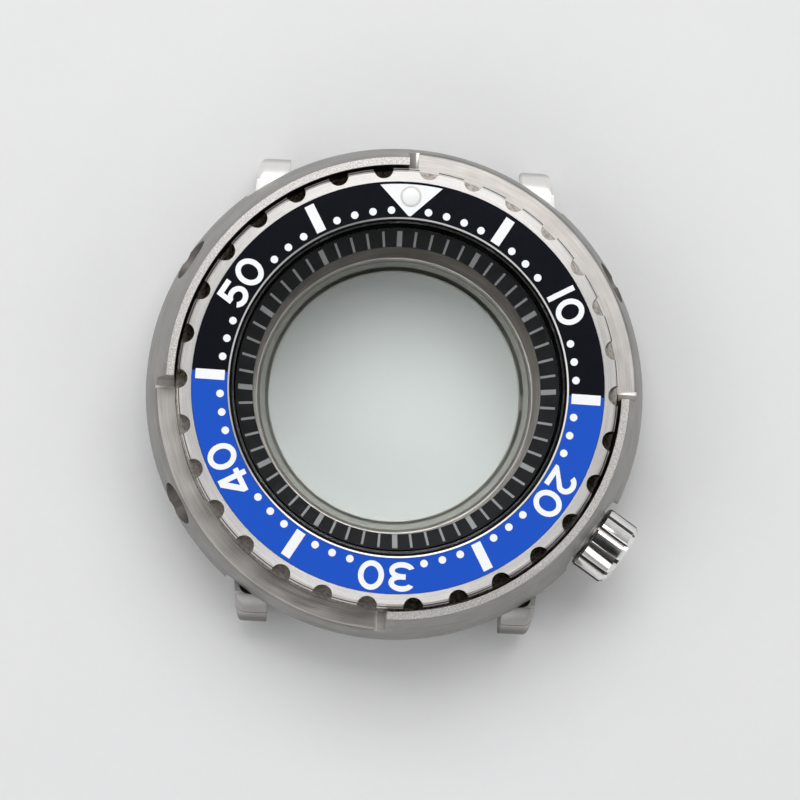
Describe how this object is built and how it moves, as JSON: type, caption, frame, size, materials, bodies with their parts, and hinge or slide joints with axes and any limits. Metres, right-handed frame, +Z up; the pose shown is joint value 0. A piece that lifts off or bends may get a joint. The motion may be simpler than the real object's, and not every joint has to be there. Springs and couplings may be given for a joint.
{
  "type": "empty watch case",
  "caption": "Empty diver's watch case: stepped can-shaped shroud over a lugged case body, with a turning bezel, screw-down crown, crystal and screwed glass back.",
  "frame": {"origin": "centre of the dial seat, where the movement bore ends under the chapter ring, on the case's centre line", "axes": "+Z up through the crystal, +X to 3 o'clock, +Y to 12 o'clock; the part lies on its back at rest"},
  "size_m": [0.047, 0.0464, 0.014],
  "materials": {
    "case_steel": "brushed and satin stainless steel",
    "polished_steel": "polished stainless steel",
    "insert_print": "black and blue enamel with white print",
    "chapter_black": "matt black with grey marks",
    "crystal_glass": "clear polished glass",
    "black_rubber": "matt black rubber",
    "white_seal": "smooth white nylon",
    "glue": "thin clear adhesive film",
    "spring_steel": "bright spring steel",
    "lume": "luminous paint, off-white"
  },
  "bodies": {
    "case": {"case_middle": "case_steel", "shroud": "case_steel", "shroud_screws": "polished_steel", "chapter_ring": "chapter_black", "crystal": "crystal_glass", "crystal_gasket": "black_rubber", "bezel_gasket": "black_rubber", "click_spring": "spring_steel", "caseback_gasket": "black_rubber", "crown_tube": "polished_steel"},
    "bezel": {"bezel_ring": "case_steel", "bezel_insert": "insert_print", "insert_glue": "glue", "pip_cup": "polished_steel", "pip_lume": "lume"},
    "back": {"caseback": "case_steel", "caseback_glass": "crystal_glass", "back_glass_gasket": "white_seal"},
    "stem_post": {"crown_post": "polished_steel", "crown_spring": "spring_steel"},
    "crown": {"crown": "polished_steel", "crown_washer": "black_rubber", "crown_gasket": "black_rubber"}
  },
  "joints": [
    {"name": "bezel_turn", "type": "hinge", "parent": "case", "child": "bezel", "pos_m": [0, 0, 0.003], "axis": [0, 0, 1], "continuous": true},
    {"name": "crown_turn", "type": "hinge", "parent": "case", "child": "stem_post", "pos_m": [0, 0, -0.0023], "axis": [0.8368, -0.5476, 0], "range_deg": [0, 1080.1]},
    {"name": "crown_travel", "type": "slide", "parent": "stem_post", "child": "crown", "axis": [0.8368, -0.5476, 0], "range_m": [0, 0.00135]},
    {"name": "back_lift", "type": "slide", "parent": "case", "child": "back", "axis": [0, 0, -1], "range_m": [0, 0.012]}
  ],
  "couplings": [
    {"joint": "crown_turn", "follows": "crown_travel", "rad_per_m": 13963}
  ]
}
